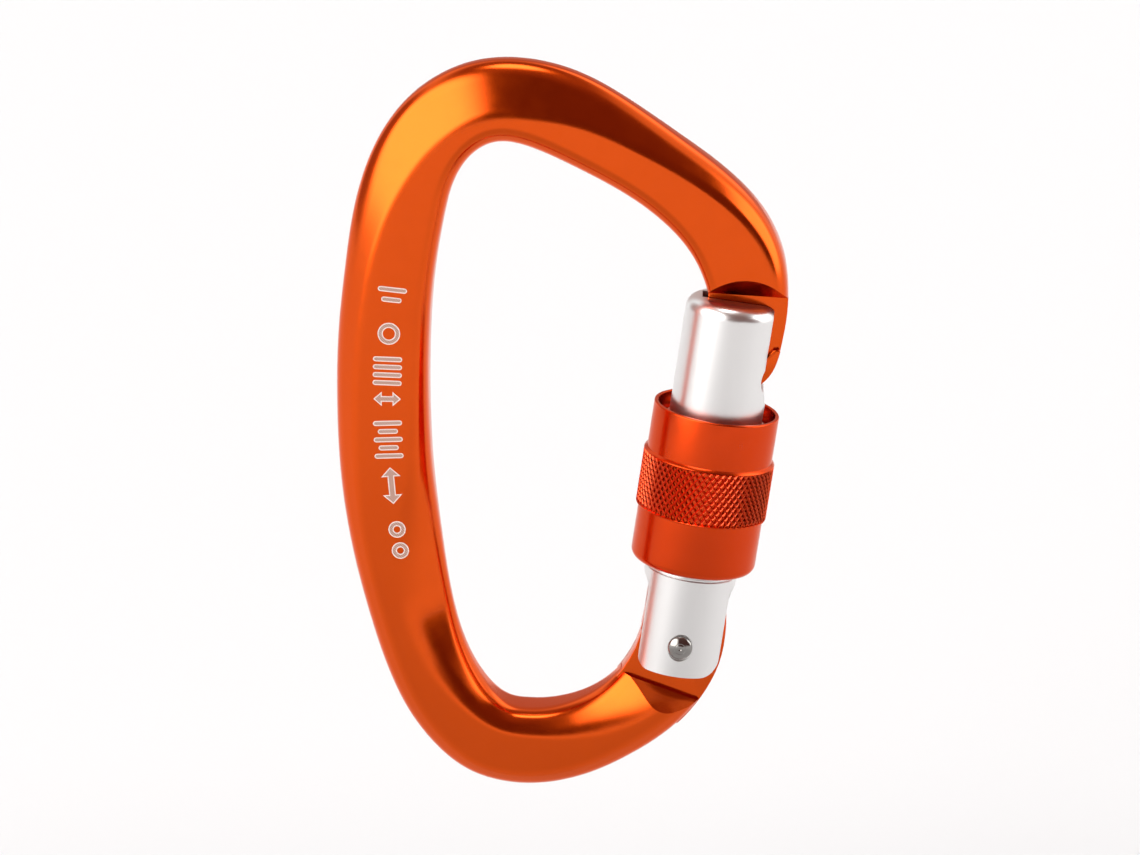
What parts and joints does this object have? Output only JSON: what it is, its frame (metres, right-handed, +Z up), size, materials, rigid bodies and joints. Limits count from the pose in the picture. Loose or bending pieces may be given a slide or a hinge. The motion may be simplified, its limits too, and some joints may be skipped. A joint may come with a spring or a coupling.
{
  "type": "screw-lock carabiner",
  "caption": "Offset-D clip bar with a sprung hinged gate, keylock nose and knurled screw sleeve that slides up over the nose to lock.",
  "frame": {"origin": "apex of the top basket, where the load hangs on the inside of the upper bend, in the middle of the bar's depth", "axes": "+Z up along the spine's load line, +X from the spine towards the gate, -Y the front face"},
  "size_m": [0.0611, 0.018, 0.1019],
  "materials": {
    "orange_anodised": "glossy orange anodised",
    "red_orange_anodised": "satin red-orange anodised",
    "satin_aluminium": "fine satin",
    "polished_steel": "polished",
    "spring_steel": "bright drawn wire",
    "nylon": "matte"
  },
  "bodies": {
    "frame": {"frame": "orange_anodised"},
    "gate": {"gate": "satin_aluminium", "hinge_rivet": "polished_steel", "return_spring": "spring_steel"},
    "plunger": {"spring_plunger": "polished_steel"},
    "ring": {"friction_ring": "nylon"},
    "sleeve": {"lock_sleeve": "red_orange_anodised"}
  },
  "joints": [
    {"name": "gate_open", "type": "hinge", "parent": "frame", "child": "gate", "pos_m": [0.02337, 0, -0.0698], "axis": [0, -1, 0], "range_deg": [0, 28], "stiffness_Nm_per_rad": 0.092, "springref_deg": -37.24},
    {"name": "plunger_slide", "type": "slide", "parent": "gate", "child": "plunger", "axis": [0.1444, 0, 0.9895], "range_m": [0, 0.0015], "deforming": ["return_spring"]},
    {"name": "sleeve_lift", "type": "slide", "parent": "gate", "child": "ring", "axis": [0.1444, 0, 0.9895], "range_m": [0, 0.0126]},
    {"name": "sleeve_turn", "type": "hinge", "parent": "ring", "child": "sleeve", "pos_m": [0.02337, 0, -0.0698], "axis": [0.1444, 0, 0.9895], "range_deg": [0, 1800]}
  ],
  "couplings": [
    {"joint": "plunger_slide", "follows": "gate_open", "m_per_rad": 0.003},
    {"joint": "sleeve_lift", "follows": "sleeve_turn", "m_per_rad": 0.00039789}
  ]
}
